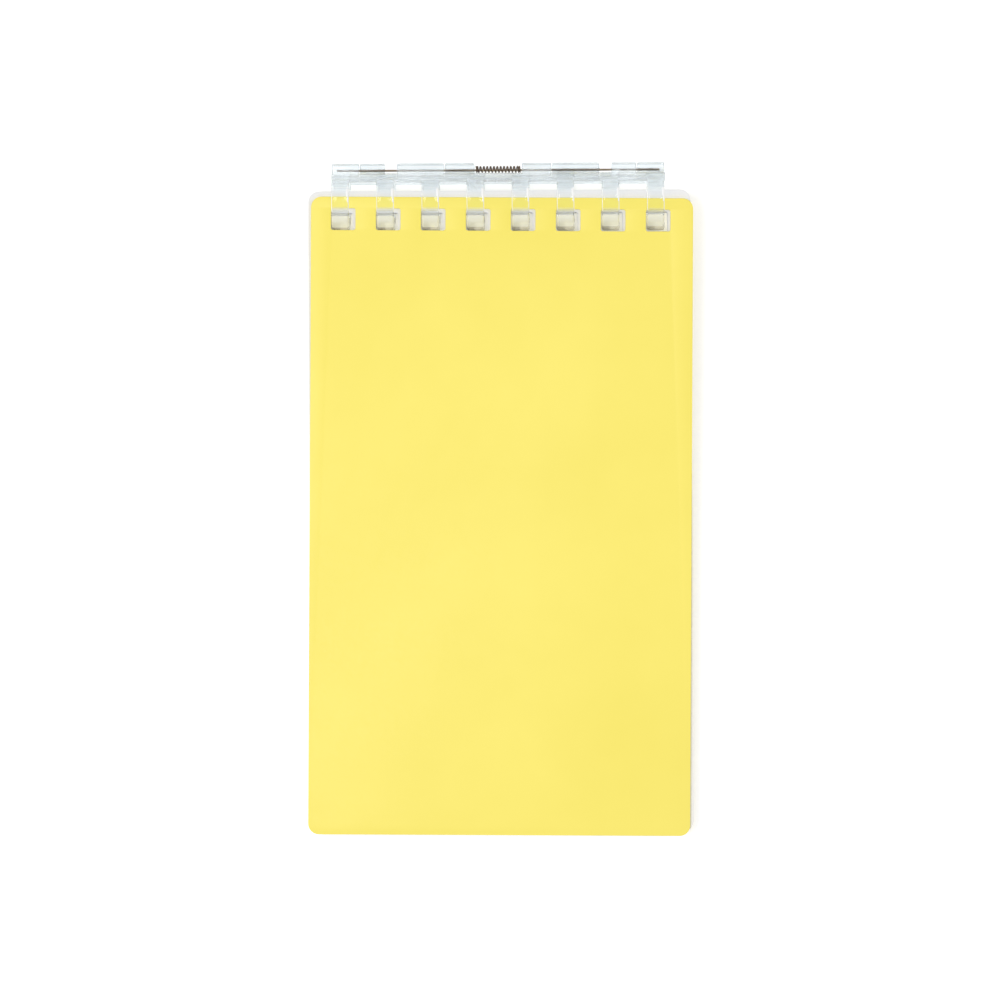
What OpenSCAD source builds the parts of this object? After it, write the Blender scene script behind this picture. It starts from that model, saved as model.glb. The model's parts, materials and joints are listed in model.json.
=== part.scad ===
// Pocket notebook with plastic covers and an openable ring comb along its top edge.
// X runs along the comb, +Y up the page towards the comb and +Z out of the front cover.
// Each piece is drawn about the centre of the closed rings, then the whole book is laid down.

/* [Covers] */
// Width of each cover
cover_w = 71.9; // [68:0.1:74]
// Height of each cover, from its ring edge to its far edge
cover_h = 120; // [90:0.5:160]
// Thickness of each cover
cover_t = 0.5; // [0.3:0.05:0.6]
// Radius of the covers' corners
cover_corner_r = 2; // [0.5:0.25:5]
// Distance from the ring centre up to the covers' ring edge
cover_edge_y = 0.1; // [0:0.05:0.2]
// Width of each cover hole
cover_hole_w = 4.6; // [4.5:0.05:5]
// Height of each cover hole
cover_hole_h = 4.1; // [3.9:0.05:4.2]
// Distance from a cover's ring edge to the near side of its holes
cover_hole_margin = 2.16; // [2:0.02:2.2]
// Sideways distance from the middle of a cover to the middle of its row of holes
cover_hole_side = 0.25; // [0:0.05:0.5]
// Radius of the corners of every hole
hole_corner_r = 0.4; // [0.1:0.1:1]
// Sideways play taken up by the front cover, which hangs to the right on its rings
front_play = 0.48; // [0.4:0.02:0.52]
// Sideways play taken up by the back cover
back_play = 0.42; // [0.3:0.02:0.5]
// Angle by which the front cover lies askew on its rings
front_skew = 0.57; // [0:0.01:0.58]
// Gap between each cover and the pages
cover_gap = 0.05; // [0.02:0.01:0.1]

/* [Pages] */
// Distance by which the covers stand out past the pages on each side
page_side_gap = 0; // [0:0.05:0.5]
// Distance by which the covers stand out past the pages' far edge
page_far_gap = 0.6; // [0:0.1:2]
// Thickness of the page block
page_t = 4.5; // [3:0.1:4.6]
// Radius of the page block's corners
page_corner_r = 2; // [0.5:0.25:5]
// Distance from the ring centre up to the pages' ring edge
page_edge_y = 1.5; // [1:0.1:1.8]
// Width of each page hole
page_hole_w = 4.2; // [4:0.1:4.6]
// Height of each page hole
page_hole_h = 4; // [3.8:0.1:4.4]
// Distance from the pages' ring edge to the near side of their holes
page_hole_margin = 4; // [3.6:0.1:4.2]
// Sideways play taken up by the pages
page_play = 0.2; // [0.1:0.02:0.24]

/* [Rings] */
// Number of rings
ring_count = 8; // [8:2:8]
// Distance between ring centres
ring_pitch = 8.4667; // [8.4:0.01:8.5]
// Outer radius of the closed rings
ring_r = 6.1; // [6:0.05:6.3]
// Thickness of the ring wall
ring_t = 1.4; // [1.2:0.05:1.4]
// Width of each ring
ring_w = 3.3; // [3:0.1:3.4]
// Bevel on the outer edges of a ring
ring_bevel = 0.4; // [0.1:0.05:0.5]
// Bevel on the inner edges of a ring
ring_inner_bevel = 0.2; // [0.1:0.05:0.4]
// Sideways offset of each half ring from the middle of its pair
ring_stagger = 0.085; // [0:0.005:0.1]
// Angle at which a ring rises out of the spine bar, measured from the ring plane
ring_from = 46; // [40:1:48]

/* [Lock] */
// Reach of each half ring's finger past the split between the halves
finger_reach = 1.2; // [0.8:0.1:1.4]
// Sideways undercut of the hooked finger face over its whole height
finger_undercut = 0.25; // [0.16:0.01:0.27]
// Gap between the faces of two locked half rings
lock_gap = 0.05; // [0.03:0.01:0.1]

/* [Hinge] */
// Outer radius of the hinge knuckles
knuckle_r = 1.4; // [1.2:0.05:1.45]
// Radius of the bore in the knuckles
bore_r = 0.24; // [0.2:0.01:0.26]
// Running clearance between the pin and its bore
pin_clear = 0.04; // [0.02:0.01:0.06]
// Half length of the comb, from its middle to its end face
comb_half = 31.37; // [31.2:0.01:32]
// Thickness of the wall that closes the bore at each end
end_wall = 0.92; // [0.6:0.02:1.5]
// Width of the end knuckle
end_knuckle = 5.16; // [4.8:0.02:5.2]
// Width of the knuckle next to the end one
second_knuckle = 4.7; // [4:0.1:5]
// Open bay that leaves room for the sideways stroke
slide_bay = 2.26; // [2:0.02:2.6]
// Width of the long inner knuckle
inner_knuckle = 8.9; // [8:0.1:9]
// Width of the knuckle beside the spring
spring_knuckle = 5.6; // [5:0.1:5.8]
// Running gap between two neighbouring knuckles
knuckle_gap = 0.15; // [0.1:0.01:0.3]
// Angle of the spine bar's edge beside the hinge, measured from the ring plane
bar_from = 36; // [34:1:37]
// Angle of the spine bar's free edge, measured from the ring plane
bar_to = 54; // [52:1:60]
// Depth of the spine bar's outer face below the outside of the rings
bar_step = 0.15; // [0.05:0.05:0.3]
// Thickness of the spine bar
bar_t = 1.15; // [1:0.05:1.2]
// Thickness of the web that joins the spine bar to each knuckle
web_t = 0.85; // [0.7:0.05:1]

/* [Spring] */
// Outer diameter of the coil spring
spring_d = 1.36; // [1.34:0.02:1.5]
// Diameter of the spring wire
spring_wire = 0.26; // [0.2:0.01:0.28]
// Number of turns
spring_turns = 14; // [8:1:14]
// Gap between the spring and the knuckle at each of its ends
spring_end_gap = 0.04; // [0.02:0.01:0.1]
// Distance by which the loose spring sits off the middle of the pin
spring_lift = 0.18; // [0:0.02:0.18]

/* [Hidden] */

fine = 48;
wire_sides = 6;
turn_steps = 14;
past = 1;

ring_in_r = ring_r - ring_t;
hinge_y = (ring_r + ring_in_r) / 2;
bar_r = ring_r - bar_step;
bar_in_r = bar_r - bar_t;
web_mid_r = (bar_r + bar_in_r) / 2;
pin_r = bore_r - pin_clear;
pin_half = comb_half - end_wall - pin_clear;

page_w = cover_w - 2 * page_side_gap;
page_h = cover_h - cover_edge_y + page_edge_y - page_far_gap;
cover_z = page_t / 2 + cover_gap;
cover_back_z = cover_z + cover_t;

// Reach of a half ring past the split as an angle, with some to spare for the cut.
finger_angle = asin(finger_reach / ring_in_r) + 3;
finger_lean = finger_undercut / (2 * finger_reach);

// Knuckles of one half comb: its end one, its long one, and the two that mirror the other half's.
long_knuckle_x = -comb_half + end_knuckle + knuckle_gap + second_knuckle + slide_bay;
spring_bay = -(long_knuckle_x + inner_knuckle + knuckle_gap + spring_knuckle);
spring_knuckle_x = spring_bay;
second_knuckle_x = comb_half - end_knuckle - knuckle_gap - second_knuckle;

spring_half = spring_bay - spring_end_gap - spring_wire / 2;
coil_r = (spring_d - spring_wire) / 2;

// Middles of the covers' ring edges.
front_x = front_play + cover_hole_side;
back_x = back_play - cover_hole_side;

// The rings' undersides and the back cover's far edge both touch the table.
back_far = cover_h - cover_edge_y;
lay_angle = asin(ring_r / norm([back_far, cover_back_z])) - atan2(cover_back_z, back_far);

// The origin is under the middle of the laid book.
corner_x = cover_w / 2 - cover_corner_r;
corner_y = cover_h - cover_corner_r;
left_x = front_x - corner_x * cos(front_skew) - corner_y * sin(front_skew) - cover_corner_r;
right_x = max(front_x + corner_x * cos(front_skew) + cover_corner_r, back_x + cover_w / 2);
top_y = hinge_y * cos(lay_angle) + knuckle_r;
front_far = corner_y * cos(front_skew) + corner_x * sin(front_skew) + cover_corner_r - cover_edge_y;
low_y = -front_far * cos(lay_angle) - cover_back_z * sin(lay_angle);
middle = [(left_x + right_x) / 2, (top_y + low_y) / 2];

function ring_x(i) = (i - (ring_count - 1) / 2) * ring_pitch;

module lay_down() {
    translate([-middle.x, -middle.y, ring_r])
        rotate([lay_angle, 0, 0])
            children();
}

// Plate outline that hangs down from the middle of its upper edge.
module rounded_outline(w, h, r) {
    translate([-w / 2, -h + r])
        square([w, h - 2 * r]);
    translate([-w / 2 + r, -h])
        square([w - 2 * r, h]);
    for (x = [-w / 2 + r, w / 2 - r]) {
        for (y = [-h + r, -r]) {
            translate([x, y])
                circle(r, $fn = fine);
        }
    }
}

module hole_row(w, h, margin) {
    for (i = [0 : ring_count - 1]) {
        translate([ring_x(i), -margin])
            rounded_outline(w, h, hole_corner_r);
    }
}

module cover_sheet() {
    linear_extrude(cover_t)
        difference() {
            rounded_outline(cover_w, cover_h, cover_corner_r);
            translate([-cover_hole_side, 0])
                hole_row(cover_hole_w, cover_hole_h, cover_hole_margin);
        }
}

module front_cover() {
    color("#fdef75")
        lay_down()
            translate([front_x, cover_edge_y, cover_z])
                rotate([0, 0, -front_skew])
                    cover_sheet();
}

// The same sheet as the front cover, turned over.
module back_cover() {
    color("#f5e568")
        lay_down()
            translate([back_x, cover_edge_y, -cover_z])
                rotate([0, 180, 0])
                    cover_sheet();
}

module page_block() {
    color("#f4f4f1")
        lay_down()
            translate([page_play, page_edge_y, -page_t / 2])
                linear_extrude(page_t)
                    difference() {
                        rounded_outline(page_w, page_h, page_corner_r);
                        hole_row(page_hole_w, page_hole_h, page_hole_margin);
                    }
}

// Turns a section drawn as [radius, x] about the ring axis, from the hinge side over the top.
module around_rings(from, to) {
    rotate([90, 0, 90])
        rotate([0, 0, from])
            rotate_extrude(angle = to - from, $fn = fine)
                children();
}

module along_comb(x, length) {
    translate([x, 0, 0])
        rotate([90, 0, 90])
            linear_extrude(length)
                children();
}

module ring_section() {
    polygon([
        [ring_in_r, ring_inner_bevel - ring_w / 2],
        [ring_in_r + ring_inner_bevel, -ring_w / 2],
        [ring_r - ring_bevel, -ring_w / 2],
        [ring_r, ring_bevel - ring_w / 2],
        [ring_r, ring_w / 2 - ring_bevel],
        [ring_r - ring_bevel, ring_w / 2],
        [ring_in_r + ring_inner_bevel, ring_w / 2],
        [ring_in_r, ring_w / 2 - ring_inner_bevel]
    ]);
}

// Everything on the far side of the split that the other half's finger and shoulder fill.
module beyond_split() {
    low = -finger_reach + lock_gap / 2;
    high = finger_reach + lock_gap / 2;
    face = -lock_gap / 2;
    translate([0, -ring_in_r + past, 0])
        rotate([90, 0, 0])
            linear_extrude(ring_t + 2 * past)
                polygon([
                    [-ring_w, low],
                    [face - low * finger_lean, low],
                    [face - high * finger_lean, high],
                    [ring_w, high],
                    [ring_w, -2 * ring_w],
                    [-ring_w, -2 * ring_w]
                ]);
}

module half_ring() {
    difference() {
        translate([-ring_stagger, 0, 0])
            around_rings(ring_from, 180 + finger_angle)
                ring_section();
        beyond_split();
    }
}

module spine_bar() {
    around_rings(bar_from, bar_to)
        translate([bar_in_r, -comb_half])
            square([bar_t, 2 * comb_half]);
}

module knuckle(x, length) {
    along_comb(x, length)
        translate([hinge_y, 0])
            circle(knuckle_r, $fn = fine);
    around_rings(0, (bar_from + bar_to) / 2)
        translate([web_mid_r - web_t / 2, x])
            square([web_t, length]);
}

// One moulding with its eight half rings; the other half of the comb is the same one turned over.
module half_comb() {
    difference() {
        union() {
            spine_bar();
            for (i = [0 : ring_count - 1]) {
                translate([ring_x(i), 0, 0])
                    half_ring();
            }
            knuckle(-comb_half, end_knuckle);
            knuckle(long_knuckle_x, inner_knuckle);
            knuckle(spring_knuckle_x, spring_knuckle);
            knuckle(second_knuckle_x, second_knuckle);
        }
        along_comb(-comb_half + end_wall, 2 * comb_half)
            translate([hinge_y, 0])
                circle(bore_r, $fn = fine);
    }
}

module front_comb() {
    color("#d3e0e2", 0.6)
        lay_down()
            half_comb();
}

module back_comb() {
    color("#c4d5d8", 0.6)
        lay_down()
            rotate([0, 180, 0])
                half_comb();
}

module hinge_pin() {
    color("#6a5a48")
        lay_down()
            along_comb(-pin_half, 2 * pin_half)
                translate([hinge_y, 0])
                    circle(pin_r, $fn = fine);
}

// Centre line of the coil at a share of its length from 0 to 1, and the ring of points round it.
function coil_point(s) =
    let (turn = 360 * spring_turns * s)
    [spring_half * (2 * s - 1), hinge_y + spring_lift + coil_r * cos(turn), coil_r * sin(turn)];
function wire_ring(s) =
    let (turn = 360 * spring_turns * s, out = [0, cos(turn), sin(turn)])
    [for (k = [0 : wire_sides - 1])
        let (a = 360 * k / wire_sides)
        coil_point(s) + spring_wire / 2 * (cos(a) * out + [sin(a), 0, 0])];

module lock_spring() {
    steps = spring_turns * turn_steps;
    rings = [for (i = [0 : steps]) wire_ring(i / steps)];
    points = [for (ring = rings) each ring];
    sides = [for (i = [0 : steps - 1], k = [0 : wire_sides - 1])
        let (a = i * wire_sides + k, b = i * wire_sides + (k + 1) % wire_sides)
        each [[a, b, b + wire_sides], [a, b + wire_sides, a + wire_sides]]];
    first_cap = [for (k = [wire_sides - 1 : -1 : 0]) k];
    last_cap = [for (k = [0 : wire_sides - 1]) steps * wire_sides + k];
    color("#5a4a3c")
        lay_down()
            polyhedron(points, concat(sides, [first_cap, last_cap]), convexity = 10);
}

page_block();
front_cover();
back_cover();
front_comb();
back_comb();
hinge_pin();
lock_spring();
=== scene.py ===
import json
import math
import random

import bmesh
import bpy
from mathutils import Matrix, Vector


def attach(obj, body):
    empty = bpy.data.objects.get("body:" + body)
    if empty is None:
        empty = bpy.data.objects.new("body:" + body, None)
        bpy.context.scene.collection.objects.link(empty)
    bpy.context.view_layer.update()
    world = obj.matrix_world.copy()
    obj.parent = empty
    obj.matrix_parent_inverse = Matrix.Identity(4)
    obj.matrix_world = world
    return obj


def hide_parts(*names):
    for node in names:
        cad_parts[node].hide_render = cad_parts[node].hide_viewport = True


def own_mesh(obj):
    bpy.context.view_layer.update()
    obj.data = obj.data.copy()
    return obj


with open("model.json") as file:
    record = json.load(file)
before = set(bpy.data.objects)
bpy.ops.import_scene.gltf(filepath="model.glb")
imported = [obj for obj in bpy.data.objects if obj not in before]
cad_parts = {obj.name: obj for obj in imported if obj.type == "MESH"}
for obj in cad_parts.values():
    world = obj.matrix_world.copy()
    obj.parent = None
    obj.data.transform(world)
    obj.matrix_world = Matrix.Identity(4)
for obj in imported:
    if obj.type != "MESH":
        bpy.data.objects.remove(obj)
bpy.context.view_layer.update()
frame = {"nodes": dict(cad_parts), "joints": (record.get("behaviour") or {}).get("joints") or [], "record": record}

MM = 0.001

# Sizes of the book in millimetres, about the centre of the closed rings.
COVER_W, COVER_H, COVER_T, COVER_CORNER = 71.9, 120.0, 0.5, 2.0
COVER_EDGE_Y, COVER_HOLE_SIDE = 0.1, 0.25
COVER_HOLE_W, COVER_HOLE_H, COVER_HOLE_MARGIN = 4.6, 4.1, 2.16
HOLE_CORNER = 0.4
FRONT_X, BACK_X = 0.73, 0.17
FRONT_SKEW = math.radians(-0.57)
PAGE_W, PAGE_H, PAGE_T, PAGE_CORNER = 71.9, 120.8, 4.5, 2.0
PAGE_EDGE_Y, PAGE_X = 1.5, 0.2
PAGE_HOLE_W, PAGE_HOLE_H, PAGE_HOLE_MARGIN = 4.2, 4.0, 4.0
COVER_GAP = 0.05
COVER_Z = PAGE_T / 2 + COVER_GAP
SHEETS, SHEET_SEED = 50, 11
SHEET_SHIFT_X, SHEET_SHIFT_Y, SHEET_TURN = 0.07, 0.09, 0.04

RINGS, PITCH = 8, 8.4667
RING_R, RING_T, RING_W, STAGGER = 6.1, 1.4, 3.3, 0.085
RING_FROM = 46
RING_IN = RING_R - RING_T
HINGE_Y = RING_R - RING_T / 2
FINGER, UNDERCUT, LOCK_GAP = 1.2, 0.25, 0.05
KNUCKLE_R, BORE_R, COMB_HALF, END_WALL = 1.4, 0.24, 31.37, 0.92
BAR_R, BAR_T, BAR_FROM, BAR_TO = 5.95, 1.15, 36, 54
WEB_T = 0.85
KNUCKLES = [(-31.37, 5.16), (-19.10, 8.9), (4.45, 5.6), (21.36, 4.7)]

SPRING_D, SPRING_WIRE, SPRING_TURNS, SPRING_HALF = 1.36, 0.26, 14, 4.28
SPRING_LIFT = 0.18

# The photograph's scale, and the point of the book at the middle of its frame.
MM_PER_PIXEL = 0.18815
VIEW_X, VIEW_Y, VIEW_ROLL = 0.023, -56.83, math.radians(-0.3)
FRAME_PIXELS = 1000
CAMERA_HEIGHT = 1.0
SENSOR = 36.0

# Looks of the comb's faces, in the order of its materials: clear, painted highlight on the edges, painted light on
# the tips, painted shade on the steep tips, and the thick bar.
CLEAR, EDGE_HIGHLIGHT, ENDS_PAINTED_LIGHT, STEEP_SHADE, THICK = range(5)
# Where the bar look starts, and where the ring tips' painted light and painted shade begin.
BAR_LOOK_Y, ENDS_LIGHT_Y, STEEP_SHADE_Y = 2.1, -3.4, -5.4
OUTER_FROM = RING_IN + 0.6
# Angles over the cover where the rings' edges carry a painted highlight.
HIGHLIGHT_FROM, HIGHLIGHT_TO = 74, 116

WELD = 0.0004
PLASTIC_IOR = 1.49
FLOOR_HALF, FLOOR_DROP, FLOOR_LIFT = 1.5, 0.00002, 0.36


def lay_matrix():
    """From the book's own millimetres to the place where it lies in the row frame."""
    face = frame["record"]["mounts"][0]["axis"]
    angle = math.atan2(face[1], -face[2])
    turn = Matrix.Rotation(angle, 4, "X")
    hinge = next(j for j in frame["joints"] if j["name"] == "ring_open")["pos_m"]
    centre = Vector(hinge) - turn @ Vector((0, HINGE_Y * MM, 0))
    return Matrix.Translation(centre) @ turn @ Matrix.Scale(MM, 4)


LAY = lay_matrix()


def ring_x(i):
    return (i - (RINGS - 1) / 2) * PITCH


def new_object(name, mesh):
    obj = bpy.data.objects.new(name, mesh)
    bpy.context.scene.collection.objects.link(obj)
    return obj


def mesh_from(name, points, faces):
    mesh = bpy.data.meshes.new(name)
    mesh.from_pydata([tuple(p) for p in points], [], faces)
    mesh.update()
    return mesh


def tidy_normals(mesh):
    """Welds points that fall together and turns every face outwards."""
    work = bmesh.new()
    work.from_mesh(mesh)
    bmesh.ops.remove_doubles(work, verts=work.verts, dist=WELD)
    bmesh.ops.recalc_face_normals(work, faces=work.faces)
    work.to_mesh(mesh)
    work.free()


def smooth(mesh, degrees):
    mesh.shade_smooth()
    mesh.set_sharp_from_angle(angle=math.radians(degrees))


def rounded_outline(w, h, r, x=0.0, y=0.0, steps=8):
    """Points of a rounded plate that hangs down from (x, y), the middle of its upper edge."""
    points = []
    corners = [(w / 2 - r, -r, 0), (-w / 2 + r, -r, 90), (-w / 2 + r, -h + r, 180), (w / 2 - r, -h + r, 270)]
    for cx, cy, start in corners:
        for k in range(steps + 1):
            a = math.radians(start + 90 * k / steps)
            points.append((x + cx + r * math.cos(a), y + cy + r * math.sin(a)))
    return points


def plate_mesh(name, outlines, thickness, edge):
    """A flat plate with holes and softly rounded edges, centred on its own thickness."""
    curve = bpy.data.curves.new(name, "CURVE")
    curve.dimensions = "2D"
    curve.fill_mode = "BOTH"
    curve.extrude = thickness / 2 - edge
    curve.bevel_depth = edge
    curve.bevel_resolution = 2 if edge > 0.05 else 0
    curve.offset = -edge
    for outline in outlines:
        spline = curve.splines.new("POLY")
        spline.points.add(len(outline) - 1)
        for point, (x, y) in zip(spline.points, outline):
            point.co = (x, y, 0, 1)
        spline.use_cyclic_u = True
    obj = new_object(name + "_curve", curve)
    bpy.context.view_layer.update()
    mesh = bpy.data.meshes.new_from_object(obj.evaluated_get(bpy.context.evaluated_depsgraph_get()))
    bpy.data.objects.remove(obj)
    mesh.name = name
    tidy_normals(mesh)
    return mesh


def hole_outlines(w, h, margin, side):
    return [rounded_outline(w, h, HOLE_CORNER, ring_x(i) - side, -margin, 5) for i in range(RINGS)]


def cover_piece(name, node, body, place, material):
    outlines = [rounded_outline(COVER_W, COVER_H, COVER_CORNER)]
    outlines += hole_outlines(COVER_HOLE_W, COVER_HOLE_H, COVER_HOLE_MARGIN, COVER_HOLE_SIDE)
    mesh = plate_mesh(name, outlines, COVER_T, 0.09)
    mesh.transform(LAY @ place)
    smooth(mesh, 40)
    obj = new_object(name, mesh)
    mesh.materials.append(material)
    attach(obj, body)
    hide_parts(node)
    return obj


def page_sheets(material):
    """Every sheet of the block, each a little out of line with its neighbours."""
    random.seed(SHEET_SEED)
    outlines = [rounded_outline(PAGE_W, PAGE_H, PAGE_CORNER)]
    outlines += hole_outlines(PAGE_HOLE_W, PAGE_HOLE_H, PAGE_HOLE_MARGIN, 0)
    pitch = PAGE_T / SHEETS
    sheet = plate_mesh("sheet", outlines, pitch * 0.9, 0.006)
    points = [v.co.copy() for v in sheet.vertices]
    polygons = [tuple(p.vertices) for p in sheet.polygons]
    all_points, all_faces = [], []
    for k in range(SHEETS):
        dx, dy, turn = (random.uniform(-most, most) for most in (SHEET_SHIFT_X, SHEET_SHIFT_Y, SHEET_TURN))
        z = -PAGE_T / 2 + (k + 0.5) * pitch
        place = Matrix.Translation((PAGE_X + dx, PAGE_EDGE_Y + dy - SHEET_SHIFT_Y, z))
        place = LAY @ place @ Matrix.Rotation(math.radians(turn), 4, "Z")
        base = len(all_points)
        all_points += [place @ p for p in points]
        all_faces += [tuple(base + i for i in f) for f in polygons]
    mesh = mesh_from("pages", all_points, all_faces)
    mesh.materials.append(material)
    obj = new_object("pages", mesh)
    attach(obj, "book")
    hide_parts("page_block")
    return obj


class Solid:
    """Gathers closed shells as points and faces."""

    def __init__(self):
        self.points = []
        self.faces = []

    def tube(self, loops):
        """Joins loops of equal length into a closed shell with flat ends."""
        base, n = len(self.points), len(loops[0])
        for loop in loops:
            self.points += [tuple(p) for p in loop]
        for i in range(len(loops) - 1):
            for k in range(n):
                a, b = base + i * n + k, base + i * n + (k + 1) % n
                self.faces.append((a, b, b + n, a + n))
        self.faces.append(tuple(base + k for k in reversed(range(n))))
        last = base + (len(loops) - 1) * n
        self.faces.append(tuple(last + k for k in range(n)))

    def mesh(self, name):
        made = mesh_from(name, self.points, self.faces)
        tidy_normals(made)
        return made


def rounded_section(u0, u1, v0, v1, low_r, high_r, steps=4):
    """A rectangle from (u0, v0) to (u1, v1), with one radius at its low u corners and one at its high."""
    points = []
    corners = [(u1 - high_r, v1 - high_r, 0, high_r), (u0 + low_r, v1 - low_r, 90, low_r),
               (u0 + low_r, v0 + low_r, 180, low_r), (u1 - high_r, v0 + high_r, 270, high_r)]
    for cu, cv, start, r in corners:
        for k in range(steps + 1):
            a = math.radians(start + 90 * k / steps)
            points.append((cu + r * math.cos(a), cv + r * math.sin(a)))
    return points


def ring_arc(solid, x):
    """One half ring, which eases out of the spine bar and runs past the split."""
    section = rounded_section(RING_IN, RING_R, -RING_W / 2, RING_W / 2, 0.25, 0.5)
    end = 180 + math.degrees(math.asin(FINGER / RING_IN)) + 3
    loops, step, rise = [], 2.5, 5
    count = round((end - RING_FROM) / step)
    for k in range(count + 1):
        degrees = RING_FROM + (end - RING_FROM) * k / count
        sunk = max(0.0, 1 - (degrees - RING_FROM) / rise) ** 2
        shrink = 1 - sunk * 0.16
        a = math.radians(degrees)
        loop = []
        for r, side in section:
            radius = RING_IN + 0.03 * sunk + (r - RING_IN) * shrink
            loop.append((x + side, radius * math.cos(a), radius * math.sin(a)))
        loops.append(loop)
    solid.tube(loops)


def arc_strip(r0, r1, start, end, round_r, steps=16):
    """Section of a curved bar seen along the comb, as points [y, z]."""
    points = []
    lean = math.degrees(round_r / r1)
    first, last = start + lean, end - lean
    out, low = r1 - round_r, r0 + round_r
    corner = [math.radians(90 * k / 6) for k in range(1, 6)]
    def add(r, degrees):
        a = math.radians(degrees)
        points.append((r * math.cos(a), r * math.sin(a)))
    for k in range(steps + 1):
        add(r1, first + (last - first) * k / steps)
    for t in corner:
        add(out + round_r * math.cos(t), last + lean * math.sin(t))
    for t in corner:
        add(low - round_r * math.sin(t), last + lean * math.cos(t))
    for k in range(steps + 1):
        add(r0, last - (last - first) * k / steps)
    for t in corner:
        add(low - round_r * math.cos(t), first - lean * math.sin(t))
    for t in corner:
        add(out + round_r * math.sin(t), first - lean * math.cos(t))
    return points


def bar(solid, section, x0, x1, bevel):
    """A long shape along the comb, with its end edges eased by an inset of the section."""
    n = len(section)
    inset = []
    for k in range(n):
        before, after = Vector(section[k - 1]), Vector(section[(k + 1) % n])
        along = (after - before).normalized()
        inward = Vector((-along.y, along.x))
        inset.append(Vector(section[k]) + inward * bevel)
    outer = [(0, p[0], p[1]) for p in section]
    inner = [(0, p[0], p[1]) for p in inset]
    def at(loop, x):
        return [(x, p[1], p[2]) for p in loop]
    solid.tube([at(inner, x0), at(outer, x0 + bevel), at(outer, x1 - bevel), at(inner, x1)])


def disc(y, r, sides):
    """A round section about the point y of the comb, as points [y, z]."""
    angles = [2 * math.pi * k / sides for k in range(sides)]
    return [(y + r * math.cos(a), r * math.sin(a)) for a in angles]


def half_comb_mesh():
    """The moulding that makes each half of the binding, as one closed skin."""
    solid = Solid()
    bar(solid, arc_strip(BAR_R - BAR_T, BAR_R, BAR_FROM, BAR_TO, 0.3), -COMB_HALF, COMB_HALF, 0.12)
    for x, length in KNUCKLES:
        bar(solid, disc(HINGE_Y, KNUCKLE_R, 56), x, x + length, 0.15)
        middle = BAR_R - BAR_T / 2
        strip = arc_strip(middle - WEB_T / 2, middle + WEB_T / 2, 0, (BAR_FROM + BAR_TO) / 2, 0.1)
        bar(solid, strip, x + 0.05, x + length - 0.05, 0.05)
    for i in range(RINGS):
        ring_arc(solid, ring_x(i) - STAGGER)
    body = new_object("half_comb_blank", solid.mesh("half_comb_blank"))

    cutter = Solid()
    low, high, face = -FINGER + LOCK_GAP / 2, FINGER + LOCK_GAP / 2, -LOCK_GAP / 2
    lean = UNDERCUT / (2 * FINGER)
    for i in range(RINGS):
        x = ring_x(i)
        outline = [(-RING_W, low), (face - low * lean, low), (face - high * lean, high), (RING_W, high),
                   (RING_W, -2 * RING_W), (-RING_W, -2 * RING_W)]
        cutter.tube([[(x + px, y, pz) for px, pz in outline] for y in (-RING_IN + 1, -RING_R - 1)])
    bore_from, bore_to = -COMB_HALF + END_WALL, COMB_HALF + 1
    bore = disc(HINGE_Y, BORE_R, 32)
    cutter.tube([[(x, y, z) for y, z in bore] for x in (bore_from, bore_to)])
    tool = new_object("half_comb_cutter", cutter.mesh("half_comb_cutter"))

    cut = body.modifiers.new("cut", "BOOLEAN")
    cut.operation = "DIFFERENCE"
    cut.solver = "EXACT"
    cut.use_self = True
    cut.object = tool
    bpy.context.view_layer.update()
    mesh = bpy.data.meshes.new_from_object(body.evaluated_get(bpy.context.evaluated_depsgraph_get()))
    bpy.data.objects.remove(body)
    bpy.data.objects.remove(tool)
    tidy_normals(mesh)
    return mesh


def ring_look(centre, normal):
    """Which look a face of the comb has. The painted highlights on the edges over the cover are wider on the
    right; the ring tips get painted light, and their steep outer faces painted shade.
    """
    outer = math.hypot(centre.y, centre.z) > OUTER_FROM
    if centre.y > BAR_LOOK_Y:
        return THICK
    # Ring tips in the holes: painted light, with painted shade on their steep outer faces.
    if centre.y < ENDS_LIGHT_Y:
        return STEEP_SHADE if outer and centre.y < STEEP_SHADE_Y else ENDS_PAINTED_LIGHT
    angle = math.degrees(math.atan2(centre.z, centre.y))
    if not outer or not HIGHLIGHT_FROM < angle < HIGHLIGHT_TO:
        return CLEAR
    # A fainter painted highlight on the left edge.
    if normal.x < -0.7:
        return EDGE_HIGHLIGHT if normal.x > -0.97 else CLEAR
    # Painted highlight on the right edge, narrowing towards the ring tip like the lamp reflection it stands in
    # for.
    highlight_limit = 0.12 if angle < 88 else 0.4 if angle < 99 else 0.75
    return EDGE_HIGHLIGHT if normal.x > highlight_limit else CLEAR


def comb_piece(name, node, body, blank, turn, materials):
    mesh = blank.copy()
    mesh.name = name
    mesh.materials.clear()
    for material in materials:
        mesh.materials.append(material)
    for face in mesh.polygons:
        face.material_index = ring_look(face.center, face.normal)
    mesh.transform(LAY @ turn)
    smooth(mesh, 28)
    obj = new_object(name, mesh)
    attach(obj, body)
    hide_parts(node)
    return obj


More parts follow.
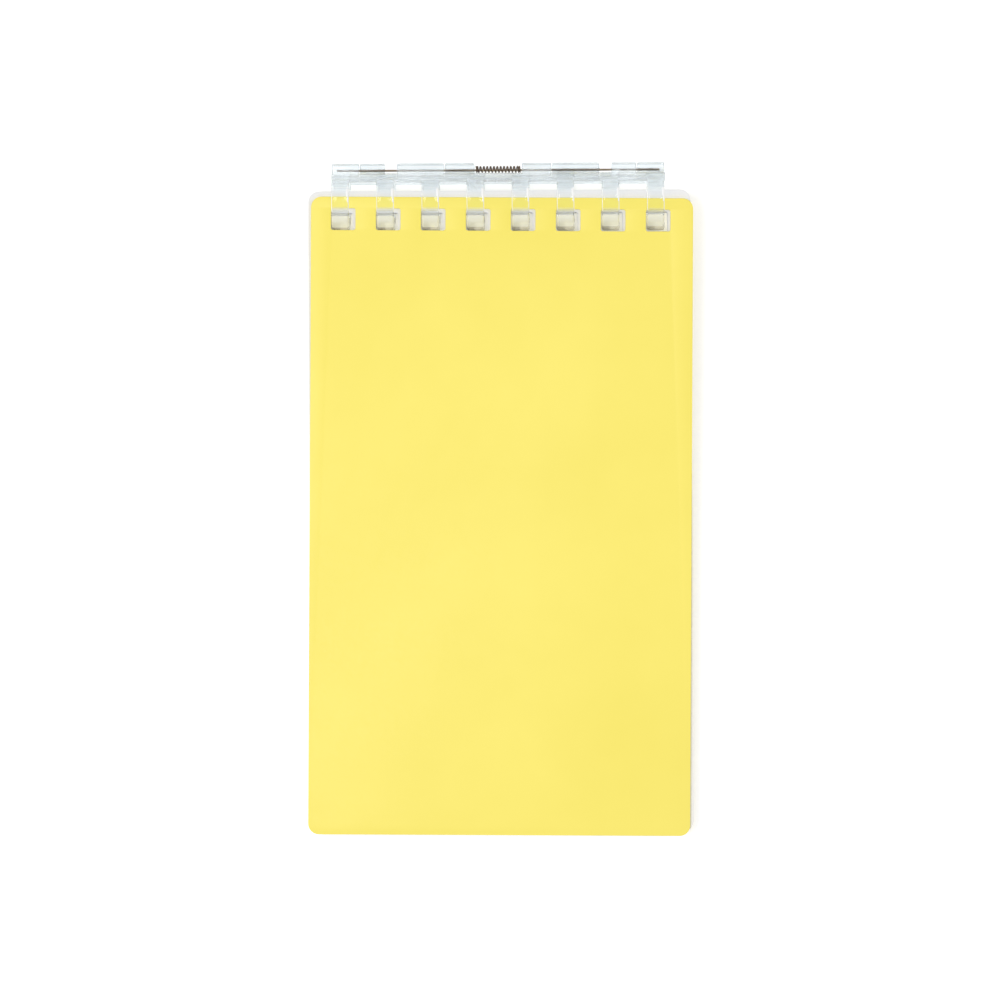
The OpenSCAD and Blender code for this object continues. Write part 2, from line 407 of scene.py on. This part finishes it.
def spring_piece(material):
    """Round wire coil with closed end turns, at one fixed length, though the real one is squeezed as the half
    combs shift.
    """
    sides, per_turn = 12, 26
    wire, coil = SPRING_WIRE / 2, (SPRING_D - SPRING_WIRE) / 2
    closed = 1.25
    total = SPRING_TURNS + 2 * closed - 2
    count = round(total * per_turn)
    open_turns = total - 2 * closed
    reach = SPRING_HALF - wire
    tight = SPRING_WIRE * 1.06
    free = (2 * reach - 2 * closed * tight) / open_turns
    def travel(t):
        if t < closed:
            return t * tight
        if t > total - closed:
            return 2 * reach - (total - t) * tight
        return closed * tight + (t - closed) * free
    solid = Solid()
    loops = []
    for i in range(count + 1):
        t = total * i / count
        a = 2 * math.pi * t
        out = Vector((0, math.cos(a), math.sin(a)))
        centre = Vector((-reach + travel(t), HINGE_Y + SPRING_LIFT, 0)) + out * coil
        loop = []
        for k in range(sides):
            b = 2 * math.pi * k / sides
            loop.append(centre + wire * (math.cos(b) * out + math.sin(b) * Vector((1, 0, 0))))
        loops.append(loop)
    solid.tube(loops)
    mesh = solid.mesh("coil_spring")
    mesh.transform(LAY)
    smooth(mesh, 50)
    mesh.materials.append(material)
    obj = new_object("coil_spring", mesh)
    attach(obj, "book")
    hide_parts("lock_spring")
    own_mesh(obj)
    return obj


class Nodes:
    """Short calls for building one material."""

    def __init__(self, name):
        self.material = bpy.data.materials.new(name)
        self.material.use_nodes = True
        self.tree = self.material.node_tree
        self.shader = self.tree.nodes["Principled BSDF"]
        self.place = self.tree.nodes.new("ShaderNodeTexCoord").outputs["Object"]

    def set(self, **values):
        for key, value in values.items():
            self.shader.inputs[key.replace("_", " ")].default_value = value

    def link(self, source, target):
        self.tree.links.new(source, target)

    def scaled(self, scale):
        node = self.tree.nodes.new("ShaderNodeMapping")
        node.inputs["Scale"].default_value = scale
        self.link(self.place, node.inputs["Vector"])
        return node.outputs["Vector"]

    def noise(self, scale, detail=4.0, rough=0.55, stretch=(1, 1, 1)):
        node = self.tree.nodes.new("ShaderNodeTexNoise")
        self.link(self.scaled(stretch), node.inputs["Vector"])
        node.inputs["Scale"].default_value = scale
        node.inputs["Detail"].default_value = detail
        node.inputs["Roughness"].default_value = rough
        return node.outputs["Fac"]

    def ramp(self, source, low, high, start=0.3, end=0.7):
        node = self.tree.nodes.new("ShaderNodeValToRGB")
        node.color_ramp.elements[0].position = start
        node.color_ramp.elements[1].position = end
        node.color_ramp.elements[0].color = (*low, 1)
        node.color_ramp.elements[1].color = (*high, 1)
        self.link(source, node.inputs["Fac"])
        return node.outputs["Color"]

    def spread(self, source, low, high):
        node = self.tree.nodes.new("ShaderNodeMapRange")
        node.inputs["From Min"].default_value = 0.3
        node.inputs["From Max"].default_value = 0.7
        node.inputs["To Min"].default_value = low
        node.inputs["To Max"].default_value = high
        self.link(source, node.inputs["Value"])
        return node.outputs["Result"]

    def bump(self, source, distance, strength=1.0, before=None):
        node = self.tree.nodes.new("ShaderNodeBump")
        node.inputs["Distance"].default_value = distance
        node.inputs["Strength"].default_value = strength
        self.link(source, node.inputs["Height"])
        if before is not None:
            self.link(before, node.inputs["Normal"])
        return node.outputs["Normal"]


def cover_material():
    """Satin polypropylene sheet with a very fine grain."""
    m = Nodes("yellow_sheet")
    tone = m.noise(38, 3)
    m.link(m.ramp(tone, (0.925, 0.787, 0.137), (0.96, 0.82, 0.157)), m.shader.inputs["Base Color"])
    m.link(m.spread(m.noise(2200, 2), 0.42, 0.52), m.shader.inputs["Roughness"])
    grain = m.bump(m.noise(5200, 3, 0.6), 0.00001, 0.5)
    m.link(m.bump(m.noise(60, 2), 0.00004, 0.25, grain), m.shader.inputs["Normal"])
    m.set(IOR=PLASTIC_IOR, Specular_IOR_Level=0.4)
    return m.material


def paper_material():
    """Uncoated white writing paper with its fibres."""
    m = Nodes("paper")
    fibres = m.noise(2600, 5, 0.65, (1, 3, 1))
    m.link(m.ramp(fibres, (0.81, 0.81, 0.82), (0.88, 0.88, 0.89)), m.shader.inputs["Base Color"])
    m.link(m.bump(fibres, 0.00001, 0.4), m.shader.inputs["Normal"])
    m.set(Roughness=0.85, Specular_IOR_Level=0.2)
    return m.material


def see_through(m, share, tint):
    """Lets a share of what is seen pass straight through, and all the light that falls on other pieces."""
    straight = m.tree.nodes.new("ShaderNodeBsdfTransparent")
    straight.inputs["Color"].default_value = (*tint, 1)
    mix = m.tree.nodes.new("ShaderNodeMixShader")
    path = m.tree.nodes.new("ShaderNodeLightPath")
    light, part = m.tree.nodes.new("ShaderNodeMath"), m.tree.nodes.new("ShaderNodeMath")
    light.operation = part.operation = "MAXIMUM"
    part.inputs[1].default_value = share
    m.link(path.outputs["Is Shadow Ray"], light.inputs[0])
    m.link(path.outputs["Is Diffuse Ray"], light.inputs[1])
    m.link(light.outputs["Value"], part.inputs[0])
    m.link(part.outputs["Value"], mix.inputs["Fac"])
    m.link(m.shader.outputs["BSDF"], mix.inputs[1])
    m.link(straight.outputs["BSDF"], mix.inputs[2])
    m.link(mix.outputs["Shader"], m.tree.nodes["Material Output"].inputs["Surface"])


def clear_material(name, base, through, share, tint):
    """Clear moulded plastic with faint flow marks. Its cream copy paints light and its brown copy paints shade on
    the ring tips.
    """
    m = Nodes(name)
    flow = m.noise(420, 2, 0.5, (0.25, 1, 1))
    m.link(m.spread(flow, 0.03, 0.09), m.shader.inputs["Roughness"])
    m.link(m.bump(flow, 0.00002, 0.25), m.shader.inputs["Normal"])
    m.set(Base_Color=(*base, 1), IOR=PLASTIC_IOR, Transmission_Weight=through)
    see_through(m, share, tint)
    return m.material


def highlight_edge_material():
    """Painted highlight: white on the rings' rounded edges, standing in for the lamp light they catch."""
    m = Nodes("clear_edge_highlight")
    grain = m.noise(900, 3)
    m.link(m.ramp(grain, (0.96, 0.965, 0.965), (0.99, 0.99, 0.99)), m.shader.inputs["Base Color"])
    m.link(m.spread(grain, 0.3, 0.4), m.shader.inputs["Roughness"])
    m.set(IOR=PLASTIC_IOR)
    see_through(m, 0.03, (0.98, 0.99, 0.99))
    return m.material


def metal_material(name, dark, light, rough):
    """Drawn wire with fine lines along it."""
    m = Nodes(name)
    lines = m.noise(3000, 3, 0.6, (0.05, 1, 1))
    m.link(m.ramp(lines, dark, light), m.shader.inputs["Base Color"])
    m.link(m.spread(lines, rough - 0.06, rough + 0.08), m.shader.inputs["Roughness"])
    m.link(m.bump(lines, 0.000006, 0.5), m.shader.inputs["Normal"])
    m.set(Metallic=1.0)
    return m.material


def floor():
    """Plain white table under the book, see-through from below so that the back cover's swing shows."""
    corners = [(-FLOOR_HALF, -FLOOR_HALF, 0), (FLOOR_HALF, -FLOOR_HALF, 0),
               (FLOOR_HALF, FLOOR_HALF, 0), (-FLOOR_HALF, FLOOR_HALF, 0)]
    mesh = mesh_from("floor", corners, [(0, 1, 2, 3)])
    obj = new_object("floor", mesh)
    obj.location.z = -FLOOR_DROP
    m = Nodes("floor_white")
    m.link(m.ramp(m.noise(14, 2), (0.93, 0.93, 0.93), (0.95, 0.95, 0.95)), m.shader.inputs["Base Color"])
    m.set(Roughness=0.9, Specular_IOR_Level=0.1)
    lift = m.tree.nodes.new("ShaderNodeEmission")
    path = m.tree.nodes.new("ShaderNodeLightPath")
    add = m.tree.nodes.new("ShaderNodeAddShader")
    direct, any_view, seen = (m.tree.nodes.new("ShaderNodeMath") for _ in range(3))
    direct.operation = any_view.operation = "MAXIMUM"
    seen.operation = "MULTIPLY"
    seen.inputs[1].default_value = FLOOR_LIFT
    m.link(path.outputs["Is Camera Ray"], direct.inputs[0])
    m.link(path.outputs["Is Glossy Ray"], direct.inputs[1])
    m.link(direct.outputs["Value"], any_view.inputs[0])
    m.link(path.outputs["Is Transmission Ray"], any_view.inputs[1])
    m.link(any_view.outputs["Value"], seen.inputs[0])
    m.link(seen.outputs["Value"], lift.inputs["Strength"])
    m.link(m.shader.outputs["BSDF"], add.inputs[0])
    m.link(lift.outputs["Emission"], add.inputs[1])
    below = m.tree.nodes.new("ShaderNodeMixShader")
    m.link(m.tree.nodes.new("ShaderNodeNewGeometry").outputs["Backfacing"], below.inputs["Fac"])
    m.link(add.outputs["Shader"], below.inputs[1])
    m.link(m.tree.nodes.new("ShaderNodeBsdfTransparent").outputs["BSDF"], below.inputs[2])
    m.link(below.outputs["Shader"], m.tree.nodes["Material Output"].inputs["Surface"])
    mesh.materials.append(m.material)


def lamp(name, place, size, power):
    data = bpy.data.lights.new(name, "AREA")
    data.shape = "DISK"
    data.size = size
    data.energy = power
    obj = bpy.data.objects.new(name, data)
    bpy.context.scene.collection.objects.link(obj)
    obj.location = place
    obj.rotation_euler = (Vector((0, 0, 0)) - Vector(place)).to_track_quat("-Z", "Y").to_euler()
    return obj


def studio():
    world = bpy.data.worlds.new("studio")
    bpy.context.scene.world = world
    world.use_nodes = True
    background = world.node_tree.nodes["Background"]
    background.inputs["Color"].default_value = (1, 1, 1, 1)
    background.inputs["Strength"].default_value = 0.62
    lamp("key", (-0.38, 0.0, 1.0), 0.45, 4.4)
    lamp("side", (0.7, 0.1, 0.5), 0.3, 0.8)


def camera():
    data = bpy.data.cameras.new("camera")
    data.sensor_width = SENSOR
    data.lens = SENSOR * CAMERA_HEIGHT / (MM_PER_PIXEL * MM * FRAME_PIXELS)
    data.clip_start = 0.01
    obj = bpy.data.objects.new("camera", data)
    bpy.context.scene.collection.objects.link(obj)
    eye = LAY @ Vector((VIEW_X, VIEW_Y, COVER_Z + COVER_T + CAMERA_HEIGHT / MM))
    turn = LAY.to_3x3().normalized().to_4x4() @ Matrix.Rotation(VIEW_ROLL, 4, "Z")
    obj.matrix_world = Matrix.Translation(eye) @ turn
    bpy.context.scene.camera = obj


def build():
    cover = cover_material()
    clear = clear_material("clear_plastic", (0.965, 0.985, 0.995), 1.0, 0.58, (0.976, 0.99, 0.998))
    # Painted light: a cream base on the ring tips in the holes stands in for the light of the yellow cover
    # gathered there.
    ends_painted_light = clear_material("clear_ends_painted_light", (0.995, 0.99, 0.87), 0.15, 0.3, (0.99, 0.99, 0.97))
    # Painted shade: a brownish base on the steep outer tips stands in for the darkening where they are seen
    # edge-on.
    steep_shade = clear_material("clear_steep_painted_shade", (0.9, 0.85, 0.72), 0.5, 0.35, (0.95, 0.92, 0.84))
    front = Matrix.Translation((FRONT_X, COVER_EDGE_Y, COVER_Z + COVER_T / 2))
    back = Matrix.Translation((BACK_X, COVER_EDGE_Y, -COVER_Z - COVER_T / 2))
    over = Matrix.Rotation(math.pi, 4, "Y")
    askew = Matrix.Rotation(FRONT_SKEW, 4, "Z")
    cover_piece("front_sheet", "front_cover", "front_leaf", front @ askew, cover)
    cover_piece("back_sheet", "back_cover", "back_leaf", back @ over, cover)
    page_sheets(paper_material())
    blank = half_comb_mesh()
    thick = clear_material("clear_bar", (0.88, 0.91, 0.93), 1.0, 0.58, (0.905, 0.928, 0.942))
    plastics = [clear, highlight_edge_material(), ends_painted_light, steep_shade, thick]
    comb_piece("front_rings", "front_comb", "book", blank, Matrix.Identity(4), plastics)
    comb_piece("back_rings_half", "back_comb", "back_rings", blank, over, plastics)
    spring_piece(metal_material("spring_wire", (0.11, 0.08, 0.06), (0.22, 0.17, 0.13), 0.35))
    pin = frame["nodes"]["hinge_pin"]
    pin.data.materials.clear()
    pin.data.materials.append(metal_material("pin_wire", (0.22, 0.165, 0.115), (0.33, 0.26, 0.19), 0.3))


scene = bpy.context.scene
scene.view_settings.view_transform = "Standard"
camera()
studio()
floor()
build()
